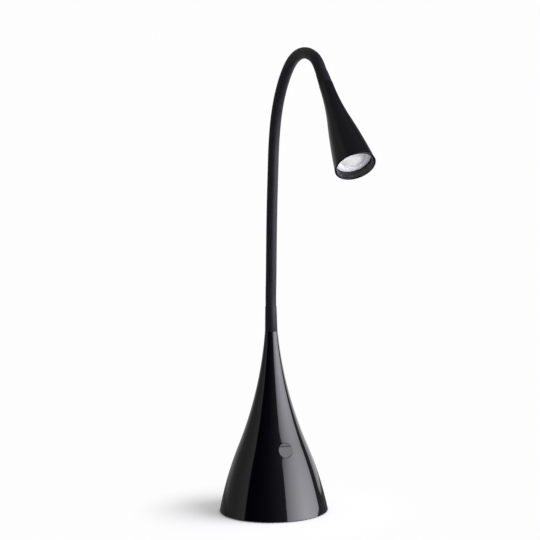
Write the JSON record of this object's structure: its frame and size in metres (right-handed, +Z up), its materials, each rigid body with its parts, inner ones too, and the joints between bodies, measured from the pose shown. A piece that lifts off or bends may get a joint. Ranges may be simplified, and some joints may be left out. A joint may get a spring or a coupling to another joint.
{
  "type": "gooseneck desk lamp",
  "caption": "Desk lamp with a weighted trumpet-shaped base, a push button, a bendable gooseneck that arches forward and a slim flared head with a recessed LED lens.",
  "frame": {"origin": "centre of the foot pad's underside, on the axis of the base", "axes": "+Z up; the lamp faces -Y, with the button on that side and the cord gland at +Y; at rest the neck bends in the plane X = 0"},
  "size_m": [0.1082, 0.2744, 0.4549],
  "materials": {
    "base_gloss": "high gloss black",
    "head_gloss": "high gloss black",
    "button_gloss": "gloss black",
    "cover_plastic": "fine matte",
    "foot_rubber": "matte rubber",
    "gland_rubber": "matte rubber",
    "neck_sleeve": "satin black sleeve",
    "neck_steel": "spiral-wound steel",
    "lead_pvc": "PVC insulation",
    "collar_paint": "satin black paint",
    "fitting_brass": "turned",
    "screw_steel": "zinc plated",
    "ballast_iron": "as cast",
    "switch_plastic": "moulded",
    "board_laminate": "solder mask",
    "component_plastic": "moulded",
    "sink_aluminium": "extruded",
    "led_board_aluminium": "white solder mask",
    "led_phosphor": "phosphor",
    "reflector_chrome": "vacuum plated",
    "ring_white": "satin white",
    "diffuser_frost": "frosted"
  },
  "bodies": {
    "base": {"base_shell": "base_gloss", "bottom_cover": "cover_plastic", "cover_screws": "screw_steel", "anti_slip_foot": "foot_rubber", "ballast_weight": "ballast_iron", "ballast_screws": "screw_steel", "switch_body": "switch_plastic", "switch_spring": "screw_steel", "switch_screws": "screw_steel", "driver_board": "board_laminate", "driver_components": "component_plastic", "board_screws": "screw_steel", "cord_gland": "gland_rubber", "base_collar": "collar_paint", "base_neck_fitting": "fitting_brass", "base_neck_nut": "fitting_brass", "neck_sleeve_01": "neck_sleeve", "neck_core_01": "neck_steel", "neck_lead_01": "lead_pvc"},
    "button": {"power_button": "button_gloss"},
    "neck_link_02": {"neck_sleeve_02": "neck_sleeve", "neck_core_02": "neck_steel", "neck_lead_02": "lead_pvc"},
    "neck_link_03": {"neck_sleeve_03": "neck_sleeve", "neck_core_03": "neck_steel", "neck_lead_03": "lead_pvc"},
    "neck_link_04": {"neck_sleeve_04": "neck_sleeve", "neck_core_04": "neck_steel", "neck_lead_04": "lead_pvc"},
    "neck_link_05": {"neck_sleeve_05": "neck_sleeve", "neck_core_05": "neck_steel", "neck_lead_05": "lead_pvc"},
    "neck_link_06": {"neck_sleeve_06": "neck_sleeve", "neck_core_06": "neck_steel", "neck_lead_06": "lead_pvc"},
    "neck_link_07": {"neck_sleeve_07": "neck_sleeve", "neck_core_07": "neck_steel", "neck_lead_07": "lead_pvc"},
    "neck_link_08": {"neck_sleeve_08": "neck_sleeve", "neck_core_08": "neck_steel", "neck_lead_08": "lead_pvc"},
    "neck_link_09": {"neck_sleeve_09": "neck_sleeve", "neck_core_09": "neck_steel", "neck_lead_09": "lead_pvc"},
    "neck_link_10": {"neck_sleeve_10": "neck_sleeve", "neck_core_10": "neck_steel", "neck_lead_10": "lead_pvc"},
    "head": {"head_shell": "head_gloss", "head_collar": "collar_paint", "head_neck_fitting": "fitting_brass", "lens_ring": "ring_white", "diffuser_lens": "diffuser_frost", "reflector_cup": "reflector_chrome", "led_board": "led_board_aluminium", "led_board_screws": "screw_steel", "led_chips": "led_phosphor", "heat_sink": "sink_aluminium", "neck_sleeve_11": "neck_sleeve", "neck_core_11": "neck_steel", "neck_lead_11": "lead_pvc"}
  },
  "joints": [
    {"name": "neck_bend_01", "type": "hinge", "parent": "base", "child": "neck_link_02", "pos_m": [0, -0.00071, 0.22148], "axis": [1, 0, 0], "range_deg": [-30, 30]},
    {"name": "neck_sway_02", "type": "hinge", "parent": "neck_link_02", "child": "neck_link_03", "pos_m": [0, -0.00313, 0.25399], "axis": [0, 0.9981, 0.061], "range_deg": [-30, 30]},
    {"name": "neck_bend_03", "type": "hinge", "parent": "neck_link_03", "child": "neck_link_04", "pos_m": [0, -0.0054, 0.28651], "axis": [1, 0, 0], "range_deg": [-30, 30]},
    {"name": "neck_sway_04", "type": "hinge", "parent": "neck_link_04", "child": "neck_link_05", "pos_m": [0, -0.00852, 0.31896], "axis": [0, 0.9936, 0.1132], "range_deg": [-30, 30]},
    {"name": "neck_bend_05", "type": "hinge", "parent": "neck_link_05", "child": "neck_link_06", "pos_m": [0, -0.01222, 0.35135], "axis": [1, 0, 0], "range_deg": [-30, 30]},
    {"name": "neck_sway_06", "type": "hinge", "parent": "neck_link_06", "child": "neck_link_07", "pos_m": [0, -0.01871, 0.38325], "axis": [0, 0.9588, 0.284], "range_deg": [-30, 30]},
    {"name": "neck_bend_07", "type": "hinge", "parent": "neck_link_07", "child": "neck_link_08", "pos_m": [0, -0.03243, 0.41269], "axis": [1, 0, 0], "range_deg": [-30, 20]},
    {"name": "neck_sway_08", "type": "hinge", "parent": "neck_link_08", "child": "neck_link_09", "pos_m": [0, -0.05437, 0.43663], "axis": [0, 0.6225, 0.7826], "range_deg": [-30, 30]},
    {"name": "neck_bend_09", "type": "hinge", "parent": "neck_link_09", "child": "neck_link_10", "pos_m": [0, -0.08405, 0.44908], "axis": [1, 0, 0], "range_deg": [-30, 10]},
    {"name": "neck_sway_10", "type": "hinge", "parent": "neck_link_10", "child": "head", "pos_m": [0, -0.11609, 0.44514], "axis": [0, -0.3584, 0.9336], "range_deg": [-30, 30]},
    {"name": "button_press", "type": "slide", "parent": "base", "child": "button", "axis": [0, 0.9252, -0.3794], "range_m": [0, 0.0016], "stiffness_N_per_m": 500, "springref_m": -0.002, "deforming": ["switch_spring"]}
  ]
}
